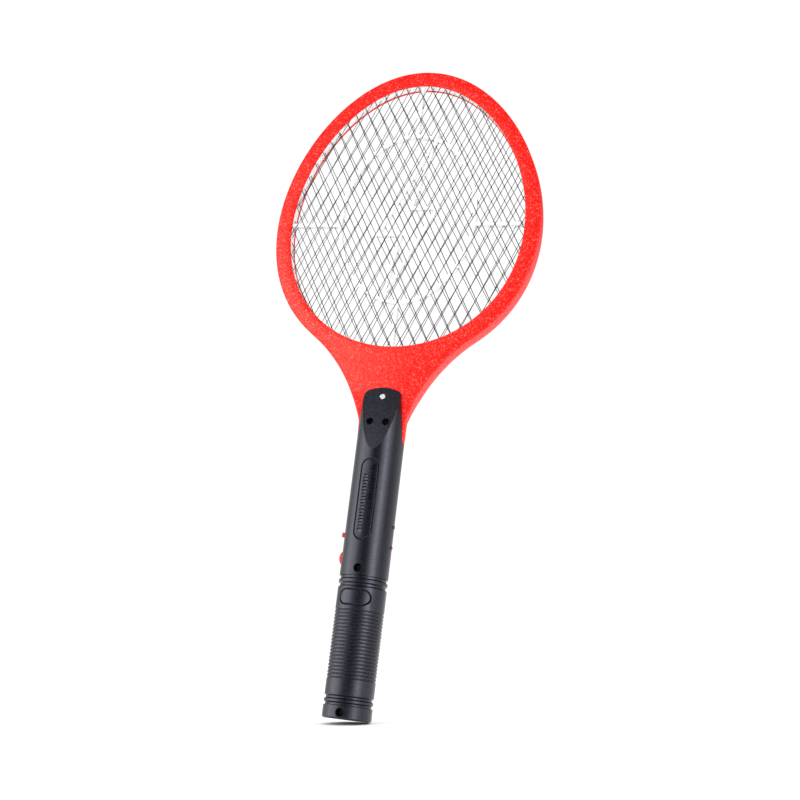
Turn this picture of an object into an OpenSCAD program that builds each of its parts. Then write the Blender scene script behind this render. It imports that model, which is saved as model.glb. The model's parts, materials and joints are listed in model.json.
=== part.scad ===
// Battery-powered electric fly swatter: oval head with three mesh grids on a round handle.
// Millimetres. The handle's axis is Z, the end cap stands on Z = 0, the screwed back faces -Y,
// and the push button looks out along -X.

/* [Head] */
// Widest stretch of the oval opening, before its taper
open_w = 183.3; // [170:0.1:190]
// Height of the oval opening
open_h = 215.4; // [200:0.1:222]
// Height of the opening's centre above the end cap
open_z = 375.75; // [368:0.25:380]
// How much narrower the opening is at the top and wider below
egg_taper = 0.105; // [0:0.005:0.15]
// Width of the red rim around the opening
rim_w = 11.8; // [10:0.1:14]
// Thickness of the head from back face to front face
head_t = 14; // [12:1:16]
// Wall of the head shells
head_wall = 1.8; // [1.4:0.1:2.2]
// Radius of the concave flare from the head into the neck
flare_r = 124; // [110:1:130]
// Half width of the neck where it enters the handle
neck_half_w = 17.8; // [17.4:0.1:18.4]
// Height of the neck's lowest point
neck_tip_z = 196; // [192:1:200]

/* [Grids] */
// Width of one mesh diamond
diamond_w = 10.05; // [8:0.05:12]
// Height of one mesh diamond
diamond_h = 20.1; // [16:0.1:24]
// Sideways place of the crossing nearest the opening's centre
lattice_x = 4.1; // [0:0.1:5]
// Width of one mesh strand
strand_w = 0.7; // [0.5:0.1:1]
// Thickness of one grid
grid_t = 0.8; // [0.6:0.1:1]
// Thickness of one spacer
spacer_t = 2.5; // [2:0.1:3]
// Width of the spacers' inner ribs
rib_w = 2.6; // [2:0.1:3.5]

/* [Handle] */
// Outer diameter of the handle, set by two AA cells side by side
handle_d = 34.5; // [33.5:0.5:36]
// Wall of the handle shells and of the grip sleeve
handle_wall = 2; // [1.6:0.1:2.2]
// Height of the joint between the grip sleeve and the handle shells
joint_z = 97.5; // [96:0.5:99]
// Height of the top of the screwed tongue
tongue_z = 236; // [230:1:240]
// Height where the tongue's slanted facet starts
facet_z = 188; // [184:1:192]
// Height of the end cap
cap_h = 8.8; // [8:0.1:10]
// Number of grip grooves
groove_count = 20; // [12:1:22]
// Pitch of the grip grooves
groove_pitch = 2.42; // [2:0.01:2.5]
// Height of the lowest grip groove
groove_z = 27.3; // [26:0.1:29]

/* [Controls] */
// Height of the push button's centre
button_z = 110.2; // [109:0.1:112]
// Diameter of the push button
button_d = 9.3; // [8:0.1:10]
// Travel of the push button
button_travel = 1.5; // [1:0.1:1.5]
// Height of the slide knob's centre in its off place
knob_z = 126.9; // [125:0.1:129]
// Travel of the slide knob
knob_travel = 3; // [2:0.1:3]
// Heights of the two indicator lamps
lamp_zs = [120.1, 134.8];

/* [Batteries] */
// Diameter of an AA cell
cell_d = 14.2; // [13.5:0.1:14.5]
// Length of an AA cell without its nub
cell_h = 49.3; // [49:0.1:49.5]
// Height of the battery tray's floor
tray_base_z = 22; // [21:0.5:23]

/* [Hidden] */
$fn = 64;
EPS = 0.01;
handle_r = handle_d / 2;
half_t = head_t / 2;
overall_z = open_z + open_h / 2 + rim_w;
oval_steps = 96;

// Reach of cutting blocks past the whole part, and how far a cut overshoots the face it opens
far = 150;
over = 1;

// Depths of the grid pack, counted from the back shell's plate towards +Y
pack_y = -half_t + head_wall;
back_spacer_y = pack_y + grid_t;
centre_grid_y = back_spacer_y + spacer_t;
front_spacer_y = centre_grid_y + grid_t;
front_grid_y = front_spacer_y + spacer_t;
lip_y = front_grid_y + grid_t + 0.1;
seat_grow = 6;
seat_gap = 0.2;
lip_grow = 7.8;

// Flare: the point of the outer oval where the neck leaves it, and the flare's centre
flare_angle = -56;
flare_start = oval_point(rim_w, flare_angle);
flare_slope = oval_point(rim_w, flare_angle + 0.5) - oval_point(rim_w, flare_angle - 0.5);
flare_normal = [flare_slope[1], -flare_slope[0]] / norm(flare_slope);
flare_centre = flare_start + flare_normal * flare_r;
neck_block_drop = 8;
flare_low_z = 212;
solid_neck_z = 238;

// Neck: half thickness at its tip and where it reaches the head's full thickness
tip_half_t = 2.6;
wedge_z = 232;

// Lead channels through the neck
lead_x = 11.5;
lead_y = 1.8;
lead_r = 0.7;
channel_r = 1.1;

// Solder tabs of the grids, and the slot that the front shell leaves for them
tab_w = 3;
tab_z0 = 250;
tab_gap = 0.3;
tab_slot_h = 18;

// Slanted facet of the tongue
facet_y = half_t + 1;
tongue_arc_r = 26;
tongue_arc_z = tongue_z - tongue_arc_r;
tongue_corner_rise = 20.4;
tongue_z0 = 192;
tongue_half_w = 13.6;
tongue_corner_r = 3;

// Screws: height, sideways place, and depth of the seat measured from the axis
tongue_screw_z = 229;
neck_screw_z = 209;
neck_screw_x = 6;
low_screw_z = 102.4;
cap_screw_z = 4.3;
shank_r = 1.4;
shank_gap = 0.05;
seat_tongue_y = 7.6;
seat_neck_y = 5.4;
seat_low_y = 9;
seat_cap_y = 9.2;
recess_tongue_r = 2.85;
recess_neck_r = 2.75;
recess_low_r = 3;
recess_cap_r = 2.95;
pilot_tongue_y = 8.6;
pilot_neck_y = 10;
pilot_low_y = 9;
low_boss_r = 4;

// Handle inside
bore_r = handle_r - handle_wall;
bore_top = 188;
spigot_r = 15.15;
spigot_bore_r = 13.5;
spigot_h = 9.5;
sleeve_bore_r = 15.45;
sleeve_gap = 0.2;
shoulder_z = 101;
channel_z0 = bore_top - 2;

// Circuit board
board_y = 2.5;
board_t = 1.6;
board_half_w = 12;
board_z0 = 99.5;
board_z1 = 184;
boss_hole_r = 4.3;

// Push switch and slide switch
button_reach = 2.7;
flange_x = -13.9;
flange_t = 1;
flange_r = 5.7;
plunger_r = 2;
plunger_x = -10.5;
button_gap = 0.3;
button_hole_x = -10;
switch_face_x = -9.4;
switch_back_x = -3.8;
switch_half_h = 3.4;
switch_y = -2.5;
plunger_bore_r = 2.3;
plunger_bore_x = -7.5;
knob_slot_half_w = 1.5;
knob_slot_half_h = 1.4;
knob_slot_x = -12.8;
lever_x = -13.4;
lever_end_x = -10;
slide_face_x = -12.2;
slide_back_x = -7.2;
slide_bore_x = -9.7;
slide_half_h = 4;

// Battery tray
battery_spring_h = 6.6;
plate_t = 0.4;
nub_h = 1;
tray_floor_t = 2.4;
slot_z0 = tray_base_z + tray_floor_t + plate_t;
slot_z1 = slot_z0 + battery_spring_h + cell_h + nub_h;
tray_head_z = slot_z1 + plate_t;
cell_gap = 0.3;
cell_x = cell_d / 2 + cell_gap;

// ---------- shared shapes ----------

// Point of the tapered oval, grown outwards by grow, at an angle from the +X side
function oval_point(grow, a) = [
    (open_w / 2 + grow) * cos(a) * (1 - egg_taper * sin(a)),
    open_z + (open_h / 2 + grow) * sin(a)
];

// Solid between two depths, drawn as X across and Y up, standing in the XZ plane
module slab(y0, y1) {
    translate([0, y1, 0]) rotate([90, 0, 0]) linear_extrude(y1 - y0) children();
}

// Solid drawn as Y across and Z up, pushed through from -x to +x
module side_prism(half_x) {
    translate([-half_x, 0, 0]) rotate([90, 0, 90]) linear_extrude(2 * half_x) children();
}

module rod_x(r, x0, x1) {
    translate([x0, 0, 0]) rotate([0, 90, 0]) cylinder(r = r, h = x1 - x0);
}

module rod_y(r, y0, y1) {
    translate([0, y1, 0]) rotate([90, 0, 0]) cylinder(r = r, h = y1 - y0);
}

module rod_z(r, z0, z1) {
    translate([0, 0, z0]) cylinder(r = r, h = z1 - z0);
}

// Box from its lowest to its highest corner
module box(low, high) {
    translate(low) cube(high - low);
}

module oval(grow) {
    polygon([for (i = [0 : oval_steps - 1]) oval_point(grow, i * 360 / oval_steps)]);
}

// The neck's outline: a block under the oval, waisted by two flare circles
module neck_outline(inset) {
    difference() {
        translate([-flare_start[0], neck_tip_z - neck_block_drop])
            square([2 * flare_start[0], flare_start[1] - neck_tip_z + neck_block_drop]);
        for (side = [-1, 1])
            translate([side * flare_centre[0], flare_centre[1]])
                circle(r = flare_r + inset, $fn = 200);
    }
}

module head_outline(inset) {
    oval(rim_w - inset);
    neck_outline(inset);
}

// Side view of the neck: full thickness at the top, tapering to a round tip
module wedge_outline(gap) {
    tip_z = neck_tip_z + tip_half_t;
    polygon([
        [-half_t - gap, open_z], [-half_t - gap, wedge_z], [-tip_half_t - gap, tip_z],
        [tip_half_t + gap, tip_z], [half_t + gap, wedge_z], [half_t + gap, open_z]
    ]);
    translate([0, tip_z]) circle(r = tip_half_t + gap);
}

// The part of the head that reaches into the handle
module neck_stem() {
    intersection() {
        side_prism(far) wedge_outline(0);
        union() {
            rod_z(neck_half_w, neck_tip_z, solid_neck_z);
            intersection() {
                slab(-half_t, half_t) neck_outline(0);
                box([-far, -half_t, flare_low_z], [far, half_t, solid_neck_z]);
            }
        }
    }
}

module head_solid() {
    intersection() {
        slab(-half_t, half_t) head_outline(0);
        box([-far, -half_t, solid_neck_z], [far, half_t, overall_z + over]);
    }
    neck_stem();
}

// Shanks of the screws that clamp the neck between the two handle shells
module neck_screw_places() {
    translate([0, 0, tongue_screw_z]) children();
    for (side = [-1, 1]) translate([side * neck_screw_x, 0, neck_screw_z]) children();
}

module neck_cuts() {
    neck_screw_places() rod_y(shank_r + shank_gap, -handle_r, handle_r);
    for (side = [-1, 1])
        translate([side * lead_x, lead_y, 0]) rod_z(channel_r, channel_z0, solid_neck_z + over);
}

module above_neck() {
    box([-far, -half_t - over, solid_neck_z], [far, half_t + over, overall_z]);
}

// ---------- head ----------

module head_back_shell() {
    color("red") difference() {
        intersection() {
            head_solid();
            box([-far, -half_t, 0], [far, 0, overall_z + over]);
        }
        slab(-half_t - over, over) oval(0);
        intersection() {
            slab(-half_t + head_wall, over) head_outline(head_wall);
            above_neck();
        }
        neck_cuts();
    }
}

module head_front_shell() {
    color("red") difference() {
        intersection() {
            head_solid();
            box([-far, 0, 0], [far, half_t, overall_z + over]);
        }
        slab(-over, half_t + over) oval(0);
        slab(lip_y + head_wall, half_t + over) oval(lip_grow - head_wall);
        slab(-over, lip_y) oval(seat_grow + seat_gap);
        box([lead_x - tab_w / 2 - tab_gap, -over, tab_z0],
            [lead_x + tab_w / 2 + tab_gap, lip_y, tab_z0 + tab_slot_h]);
        difference() {
            intersection() {
                slab(-over, half_t - head_wall) head_outline(head_wall);
                above_neck();
            }
            slab(-2 * over, half_t) oval(lip_grow);
        }
        neck_cuts();
    }
}

// Distance between neighbouring strands of one family, and the strands' lean
strand_lean = atan(diamond_w / diamond_h);
strand_step = diamond_w * cos(strand_lean);

// A grid's rim lies between two growths of the opening, and its strands end inside the rim
grid_rim_in = 0.6;
grid_grow = 4;
strand_end_grow = 1.5;
shortest_half = 20;

// Half axes of the ellipse that the strands are cut to before the rim trims them
strand_excess = 9;
reach_a = open_w / 2 + strand_excess;
reach_b = open_h / 2 + strand_excess;
reach_k = sqrt(pow(reach_a * cos(strand_lean), 2) + pow(reach_b * sin(strand_lean), 2));

// Half length of the strand whose line passes the centre at distance d
function chord(d) = abs(d) < reach_k
    ? reach_a * reach_b * sqrt(reach_k * reach_k - d * d) / (reach_k * reach_k)
    : 0;

// Slide of that strand's middle along its own line
function chord_shift(d) = -d * (reach_b * reach_b - reach_a * reach_a)
    * sin(strand_lean) * cos(strand_lean) / (reach_k * reach_k);

module strands(side, y0, y1) {
    count = floor(reach_k / strand_step);
    for (i = [-count : count]) {
        d = i * strand_step;
        half = chord(d);
        if (half > shortest_half)
            translate([lattice_x, 0, open_z]) rotate([0, side * strand_lean, 0])
                translate([d, 0, side * chord_shift(d)])
                    box([-strand_w / 2, y0, -half], [strand_w / 2, y1, half]);
    }
}

module grid(y0) {
    difference() {
        slab(y0, y0 + grid_t) oval(grid_grow);
        slab(y0 - over, y0 + grid_t + over) oval(grid_rim_in);
    }
    intersection() {
        union() {
            strands(1, y0, y0 + grid_t / 2);
            strands(-1, y0 + grid_t / 2, y0 + grid_t);
        }
        slab(y0 - over, y0 + grid_t + over) oval(strand_end_grow);
    }
}

// Solder tab under a grid, in line with its lead
module grid_tab(side, y0) {
    box([side * lead_x - tab_w / 2, y0, tab_z0],
        [side * lead_x + tab_w / 2, y0 + grid_t, open_z - open_h / 2]);
}

module back_grid() {
    color("dimgray") {
        grid(pack_y);
        grid_tab(1, pack_y);
    }
}

module centre_grid() {
    color("gray") {
        grid(centre_grid_y);
        grid_tab(-1, centre_grid_y);
    }
}

module front_grid() {
    color("dimgray") {
        grid(front_grid_y);
        grid_tab(1, front_grid_y);
    }
}

// Web of a spacer: four spokes, an inner oval ring and a zigzag bolt outline
web_z = 372.8;
web_a = 53;
web_b = 68.5;
spoke_z = 367;
bolt = [[16.5, 438.5], [-22, 359], [-3.5, 359], [-11.5, 306.5], [23, 380.5], [2, 380.5]];
ring_in_grow = 0.4;
spoke_bite = 2;
web_step = 5;

function ellipse_points(a, b) = [
    for (t = [0 : web_step : 360 - web_step]) [a * cos(t), web_z + b * sin(t)]
];

module bar(p, q) {
    v = q - p;
    translate(p) rotate(atan2(v[1], v[0])) translate([0, -rib_w / 2]) square([norm(v), rib_w]);
}

module spacer_outline() {
    difference() {
        oval(seat_grow);
        oval(ring_in_grow);
    }
    difference() {
        polygon(ellipse_points(web_a + rib_w / 2, web_b + rib_w / 2));
        polygon(ellipse_points(web_a - rib_w / 2, web_b - rib_w / 2));
    }
    for (side = [-1, 1]) bar([side * web_a, spoke_z], [side * (open_w / 2 + spoke_bite), spoke_z]);
    for (side = [-1, 1])
        bar([0, web_z + side * web_b], [0, open_z + side * (open_h / 2 + spoke_bite)]);
    for (i = [0 : len(bolt) - 1]) bar(bolt[i], bolt[(i + 1) % len(bolt)]);
}

module back_spacer() {
    color("white") slab(back_spacer_y, back_spacer_y + spacer_t) spacer_outline();
}

module front_spacer() {
    color("white") slab(front_spacer_y, front_spacer_y + spacer_t) spacer_outline();
}

// ---------- handle shells ----------

// Everything that lies outside the slanted facet on one side, sunk by a depth
module facet_cut(side, sunk) {
    side_prism(far) polygon([
        [side * (handle_r - sunk), facet_z], [side * (facet_y - sunk), tongue_z],
        [side * (facet_y - sunk), tongue_z + over], [side * far, tongue_z + over], [side * far, facet_z]
    ]);
}

// Shallow recess in the screwed facet, which leaves a thin lip along the handle's round side
facet_sunk = 0.35;
facet_lip = 0.6;

module facet_recess() {
    intersection() {
        facet_cut(-1, facet_sunk);
        rod_z(handle_r - facet_lip, facet_z, tongue_z + over);
    }
}

// Back view of the tongue: sides that draw in, two round corners and an arched top
module tongue_outline() {
    corner = [tongue_half_w - tongue_corner_r, tongue_arc_z + tongue_corner_rise];
    reach = 2 * tongue_arc_r * (corner - [0, tongue_arc_z]) / norm(corner - [0, tongue_arc_z]);
    foot_half_w = handle_r + over / 2;
    polygon([
        [-foot_half_w, tongue_z0 - over], [-tongue_half_w, corner[1]],
        [tongue_half_w, corner[1]], [foot_half_w, tongue_z0 - over]
    ]);
    for (side = [-1, 1]) translate([side * corner[0], corner[1]]) circle(r = tongue_corner_r);
    translate([0, tongue_arc_z]) intersection() {
        circle(r = tongue_arc_r);
        polygon([[0, 0], reach, [-reach[0], reach[1]]]);
    }
}

module handle_solid() {
    difference() {
        union() {
            rod_z(handle_r, joint_z, tongue_z);
            rod_z(spigot_r, joint_z - spigot_h, joint_z + over);
        }
        rod_z(bore_r, shoulder_z, bore_top);
        rod_z(spigot_bore_r, joint_z - spigot_h - over, shoulder_z + over);
        for (side = [-1, 1]) facet_cut(side, 0);
        side_prism(far) wedge_outline(0);
        difference() {
            box([-far, -far, tongue_z0], [far, far, tongue_z + over]);
            slab(-far - over, far + over) tongue_outline();
        }
        for (side = [-1, 1])
            translate([side * lead_x, lead_y, 0]) rod_z(channel_r, channel_z0, neck_screw_z);
    }
    intersection() {
        translate([0, 0, low_screw_z]) rod_y(low_boss_r, -handle_r, handle_r);
        rod_z((bore_r + handle_r) / 2, joint_z, bore_top);
    }
}

// Openings for the button, the knob and the lamps, which straddle the seam of the shells
module control_cuts() {
    translate([0, 0, button_z]) rod_x(button_d / 2 + button_gap, -handle_r - over, button_hole_x);
    box([-handle_r - over, -knob_slot_half_w, knob_z - knob_slot_half_h],
        [knob_slot_x, knob_slot_half_w, knob_z + knob_slot_half_h + knob_travel]);
    for (z = lamp_zs) translate([0, 0, z]) rod_x(lamp_hole_r, lamp_hole_x, handle_r + over);
}

lamp_hole_r = 1.6;
lamp_hole_x = 10;

// Engraved line that frames the long badge panel
badge_z0 = 122;
badge_z1 = 181;
badge_w = 13.6;
line_w = 0.9;
line_depth = 0.6;

module stadium_x(w, h, z_mid) {
    translate([0, z_mid - h / 2 + w / 2]) circle(d = w);
    translate([0, z_mid + h / 2 - w / 2]) circle(d = w);
    translate([-w / 2, z_mid - h / 2 + w / 2]) square([w, h - w]);
}

module badge_cut() {
    mid = (badge_z0 + badge_z1) / 2;
    long = badge_z1 - badge_z0;
    difference() {
        slab(-handle_r - over, -bore_r) stadium_x(badge_w, long, mid);
        slab(-handle_r - 2 * over, 0) stadium_x(badge_w - 2 * line_w, long - 2 * line_w, mid);
        rod_z(handle_r - line_depth, badge_z0 - over, badge_z1 + over);
    }
}

// Plain wedge notches across the badge panel, in a long column and a short one.
// Each column is [turn about the handle's axis, longest notch, lowest notch's height, count].
mark_depth = 0.7;
mark_h = 1.7;
mark_pitch = 2.3;
mark_step = 0.5;
mark_sizes = 3;
mark_columns = [[-7.5, 4, 128.5, 18], [10, 2.8, 151, 11]];

// One notch: deepest at its top edge, running out to the surface at its lower edge
module mark(w) {
    translate([0, -handle_r, 0]) side_prism(w / 2)
        polygon([[-over, 0], [0, 0], [mark_depth, mark_h], [-over, mark_h]]);
}

module badge_marks() {
    for (column = mark_columns) for (i = [0 : column[3] - 1])
        rotate([0, 0, column[0]]) translate([0, 0, column[2] + i * mark_pitch])
            mark(column[1] - (i % mark_sizes) * mark_step);
}

module handle_back_shell() {
    color("dimgray") difference() {
        intersection() {
            handle_solid();
            box([-far, -far, 0], [far, 0, tongue_z + over]);
        }
        control_cuts();
        badge_cut();
        badge_marks();
        facet_recess();
        neck_screw_places() rod_y(shank_r + shank_gap, -far, over);
        translate([0, 0, tongue_screw_z]) rod_y(recess_tongue_r, -far, -seat_tongue_y);
        for (side = [-1, 1])
            translate([side * neck_screw_x, 0, neck_screw_z]) rod_y(recess_neck_r, -far, -seat_neck_y);
        translate([0, 0, low_screw_z]) {
            rod_y(recess_low_r, -far, -seat_low_y);
            rod_y(shank_r + shank_gap, -far, over);
        }
    }
}

module handle_front_shell() {
    color("dimgray") difference() {
        intersection() {
            handle_solid();
            box([-far, 0, 0], [far, far, tongue_z + over]);
        }
        control_cuts();
        translate([0, 0, tongue_screw_z]) rod_y(shank_r + shank_gap, -over, pilot_tongue_y);
        for (side = [-1, 1])
            translate([side * neck_screw_x, 0, neck_screw_z]) rod_y(shank_r + shank_gap, -over, pilot_neck_y);
        translate([0, 0, low_screw_z]) rod_y(shank_r + shank_gap, -over, pilot_low_y);
    }
}

// Cross recess of a screw: its reach as a share of the head's radius, half width and depth
cross_reach = 0.6;
cross_half_w = 0.35;
cross_depth = 0.7;
shank_bite = 0.5;

// Pan-head screw that points along +Y with its head's underside at seat_y
module pan_screw(seat_y, end_y, head_r, head_h) {
    difference() {
        rod_y(head_r, -seat_y - head_h, -seat_y);
        for (turn = [0, 90])
            translate([0, -seat_y - head_h, 0]) rotate([0, turn, 0])
                box([-head_r * cross_reach, -over, -cross_half_w],
                    [head_r * cross_reach, cross_depth, cross_half_w]);
    }
    rod_y(shank_r, -seat_y - shank_bite, end_y);
}

module tongue_screw() {
    color("silver") translate([0, 0, tongue_screw_z])
        pan_screw(seat_tongue_y, end_y = 8.3, head_r = 2.1, head_h = 0.9);
}

module neck_screws() {
    color("silver") for (side = [-1, 1]) translate([side * neck_screw_x, 0, neck_screw_z])
        pan_screw(seat_neck_y, end_y = 9.5, head_r = 2.5, head_h = 1.6);
}

module handle_screw() {
    color("silver") translate([0, 0, low_screw_z])
        pan_screw(seat_low_y, end_y = 8.5, head_r = 2.6, head_h = 1.8);
}

// ---------- grip sleeve and end cap ----------

// Heights where the ring grooves start and stop, with a bead left between each pair
ring_depth = 1.1;
upper_rings = [[90, 92.3], [95.2, joint_z + over]];
lower_rings = [[cap_h, 10.8], [13.2, 15.3]];
groove_r = 0.55;
groove_depth = 0.5;
thumb_z = 82.3;
thumb_w = 23.4;
thumb_h = 11.4;

ring_flank = 0.45;

// Ring groove with slanted flanks, which cross the heights z0 and z1 at half its depth
module ring_cut(z0, z1) {
    slant = ring_flank * 2 * over / ring_depth;
    rotate_extrude() polygon([
        [handle_r - ring_depth, z0 + ring_flank], [handle_r, z0 - ring_flank],
        [handle_r + over, z0 - ring_flank - slant], [handle_r + over, z1 + ring_flank + slant],
        [handle_r, z1 + ring_flank], [handle_r - ring_depth, z1 - ring_flank]
    ]);
}

module thumb_cut() {
    difference() {
        slab(-handle_r - over, -handle_r / 2) translate([0, thumb_z]) stadium_lying(thumb_w, thumb_h);
        slab(-handle_r - 2 * over, 0) translate([0, thumb_z])
            stadium_lying(thumb_w - 2 * line_w, thumb_h - 2 * line_w);
        rod_z(handle_r - line_depth, thumb_z - thumb_h, thumb_z + thumb_h);
    }
}

module stadium_lying(w, h) {
    for (side = [-1, 1]) translate([side * (w - h) / 2, 0]) circle(d = h);
    translate([-(w - h) / 2, -h / 2]) square([w - h, h]);
}

// Inside the cap the sleeve has a lug for the cap's screw
lug_z0 = 2.2;
lug_z1 = 20;
lug_y = 8;
lug_t = 2.4;
lug_half_w = 4;
bridge_h = 3;
bridge_bite = 0.1;

module grip_sleeve() {
    color("dimgray") difference() {
        union() {
            difference() {
                rod_z(handle_r, cap_h, joint_z - sleeve_gap);
                rod_z(sleeve_bore_r, cap_h - over, joint_z);
            }
            box([-lug_half_w, -lug_y, lug_z0], [lug_half_w, -lug_y + lug_t, lug_z1]);
            box([-lug_half_w, -sleeve_bore_r - bridge_bite, lug_z1 - bridge_h],
                [lug_half_w, -lug_y + bridge_bite, lug_z1]);
        }
        translate([0, 0, cap_screw_z]) rod_y(shank_r + shank_gap, -lug_y - over, -lug_y + lug_t + over);
        for (ring = upper_rings) ring_cut(ring[0], ring[1]);
        for (ring = lower_rings) ring_cut(ring[0], ring[1]);
        for (i = [0 : groove_count - 1])
            translate([0, 0, groove_z + i * groove_pitch])
                rotate_extrude()
                    translate([handle_r + groove_r - groove_depth, 0]) circle(r = groove_r, $fn = 24);
        thumb_cut();
    }
}

cap_chamfer = 1;
cap_floor = 1.8;
cap_bore_r = 13.8;
cap_skirt_z = cap_h + 7;
cap_boss_r = 4.1;

module end_cap() {
    color("dimgray") difference() {
        union() {
            rotate_extrude() polygon([
                [0, 0], [handle_r - cap_chamfer, 0], [handle_r, cap_chamfer], [handle_r, cap_h],
                [sleeve_bore_r, cap_h], [sleeve_bore_r, cap_skirt_z], [cap_bore_r, cap_skirt_z],
                [cap_bore_r, cap_floor], [0, cap_floor]
            ]);
            translate([0, 0, cap_screw_z]) rod_y(cap_boss_r, -sleeve_bore_r, -lug_y);
        }
        translate([0, 0, cap_screw_z]) {
            rod_y(recess_cap_r, -far, -seat_cap_y);
            rod_y(shank_r + shank_gap, -far, -lug_y + over);
        }
    }
}

module end_cap_screw() {
    color("silver") translate([0, 0, cap_screw_z])
        pan_screw(seat_cap_y, end_y = -5, head_r = 2.5, head_h = 1.3);
}

// ---------- push button and slide switch ----------

dome_h = 2;

module push_button() {
    r = button_d / 2;
    dome_x = -handle_r - button_reach;
    sphere_r = (r * r + dome_h * dome_h) / (2 * dome_h);
    color("red") translate([0, 0, button_z]) {
        rod_x(r, dome_x + dome_h, flange_x + EPS);
        intersection() {
            translate([dome_x + sphere_r, 0, 0]) sphere(r = sphere_r, $fn = 96);
            rod_x(r, dome_x - over, dome_x + dome_h + EPS);
        }
        rod_x(flange_r, flange_x, flange_x + flange_t);
        rod_x(plunger_r, flange_x + flange_t - EPS, plunger_x);
    }
}

// Points of a coil spring's centre line, running from height 0 to h
function coil_point(r, h, turns, u) = [r * cos(360 * turns * u), r * sin(360 * turns * u), h * u];

// Round wire swept along a coil, with flat ends
module coil(r, h, turns, wire_r, per_turn) {
    sides = 6;
    steps = turns * per_turn;
    climb = atan(h / (2 * PI * r * turns));
    points = [
        for (i = [0 : steps]) for (k = [0 : sides - 1])
            let (u = i / steps, a = 360 * turns * u, b = 360 * k / sides)
            let (out = [cos(a), sin(a), 0])
            let (up = [sin(a) * sin(climb), -cos(a) * sin(climb), cos(climb)])
            coil_point(r, h, turns, u) + wire_r * (cos(b) * out + sin(b) * up)
    ];
    quads = [
        for (i = [0 : steps - 1]) for (k = [0 : sides - 1])
            let (p = i * sides + k, q = i * sides + (k + 1) % sides)
            for (face = [[p, q, p + sides], [q, q + sides, p + sides]]) face
    ];
    start_face = [[for (k = [sides - 1 : -1 : 0]) k]];
    end_face = [[for (k = [0 : sides - 1]) steps * sides + k]];
    polyhedron(points, concat(quads, start_face, end_face));
}

spring_wire_r = 0.25;
spring_coil_r = 3.4;

module button_spring() {
    x0 = flange_x + flange_t;
    coil_h = switch_face_x - x0 - 2 * spring_wire_r;
    color("silver") translate([x0 + spring_wire_r, 0, button_z]) rotate([0, 90, 0])
        coil(spring_coil_r, coil_h, turns = 3, wire_r = spring_wire_r, per_turn = 16);
}

module push_switch_body() {
    color("black") difference() {
        box([switch_face_x, switch_y, button_z - switch_half_h],
            [switch_back_x, board_y, button_z + switch_half_h]);
        translate([0, 0, button_z]) rod_x(plunger_bore_r, switch_face_x - over, plunger_bore_x);
    }
}

// Knob: the part under the thumb and the stem in the slot, as half sizes across Y and Z
knob_reach = 2.5;
knob_half = [2, 1.7];
knob_lift = 0.3;
stem_half = [1.1, 1];
lever_half = [0.8, 0.9];

// Box that reaches from x0 to x1 around a height, with half sizes across Y and Z
module tab_x(x0, x1, z, half) {
    box([x0, -half[0], z - half[1]], [x1, half[0], z + half[1]]);
}

module slide_knob() {
    color("red") {
        tab_x(-handle_r - knob_reach, -handle_r - knob_lift, knob_z, knob_half);
        tab_x(-handle_r - knob_lift - 0.1, lever_x, knob_z, stem_half);
    }
}

module slide_switch_lever() {
    color("white") tab_x(lever_x, lever_end_x, knob_z, lever_half);
}

module slide_switch_body() {
    color("silver") difference() {
        box([slide_face_x, switch_y, knob_z - slide_half_h],
            [slide_back_x, board_y, knob_z + slide_half_h + knob_travel]);
        for (z = [knob_z, knob_z + knob_travel])
            tab_x(slide_face_x - over, slide_bore_x, z, [stem_half[0], knob_travel / 2]);
    }
}

// ---------- electronics ----------

// Lamp with a round tip just inside the handle's surface, a collar, and bent legs to the board
lamp_r = 1.5;
lamp_tip_x = handle_r - 0.25;
lamp_collar_x = 12.6;
lamp_leg_x = 9.5;
wire_half = 0.25;

module indicator_lamps() {
    color("darkred") for (z = lamp_zs) translate([0, 0, z]) {
        rod_x(lamp_r, lamp_collar_x + 0.8, lamp_tip_x);
        translate([lamp_tip_x, 0, 0]) sphere(r = lamp_r);
        rod_x(lamp_r + 0.4, lamp_collar_x, lamp_collar_x + 0.9);
        box([lamp_leg_x, -wire_half, -wire_half], [lamp_collar_x + 0.1, wire_half, wire_half]);
        box([lamp_leg_x, -wire_half, -wire_half], [lamp_leg_x + 2 * wire_half, board_y, wire_half]);
    }
}

module circuit_board() {
    color("green") difference() {
        box([-board_half_w, board_y, board_z0], [board_half_w, board_y + board_t, board_z1]);
        for (x = [-8, 8]) translate([x, 0, board_z1 - 3]) rod_y(1.5, 0, far);
        translate([0, 0, low_screw_z]) rod_y(boss_hole_r, 0, far);
        box([-board_half_w - over, 0, button_z - flange_r - 0.5],
            [switch_face_x + 0.2, far, button_z + flange_r + 0.5]);
    }
}

// Step-up transformer: two E-core halves as a frame around the winding.
// The core's size across X and Z, its depth range, its middle leg and its wall.
core_z = 150;
core_w = 15;
core_h = 14;
core_y = [-8.5, 0.5];
core_leg_w = 5.8;
core_side_wall = 1.2;
core_end_wall = 2.5;
winding_bulge = 2;

module transformer_core() {
    window = [core_leg_w / 2, core_w / 2 - core_side_wall];
    color("dimgray") difference() {
        box([-core_w / 2, core_y[0], core_z], [core_w / 2, core_y[1], core_z + core_h]);
        for (side = [0, 1]) mirror([side, 0, 0])
            box([window[0], core_y[0] - over, core_z + core_end_wall],
                [window[1], core_y[1] + over, core_z + core_h - core_end_wall]);
    }
}

module transformer_winding() {
    half_w = core_w / 2 - core_side_wall - 0.1;
    color("orange") difference() {
        box([-half_w, core_y[0] - winding_bulge, core_z + core_end_wall],
            [half_w, board_y, core_z + core_h - core_end_wall]);
        box([-core_leg_w / 2, core_y[0], core_z], [core_leg_w / 2, core_y[1], core_z + core_h]);
    }
}

module hv_capacitor() {
    color("brown") box([-8, -5.5, 168], [6, board_y, 177]);
}

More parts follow.
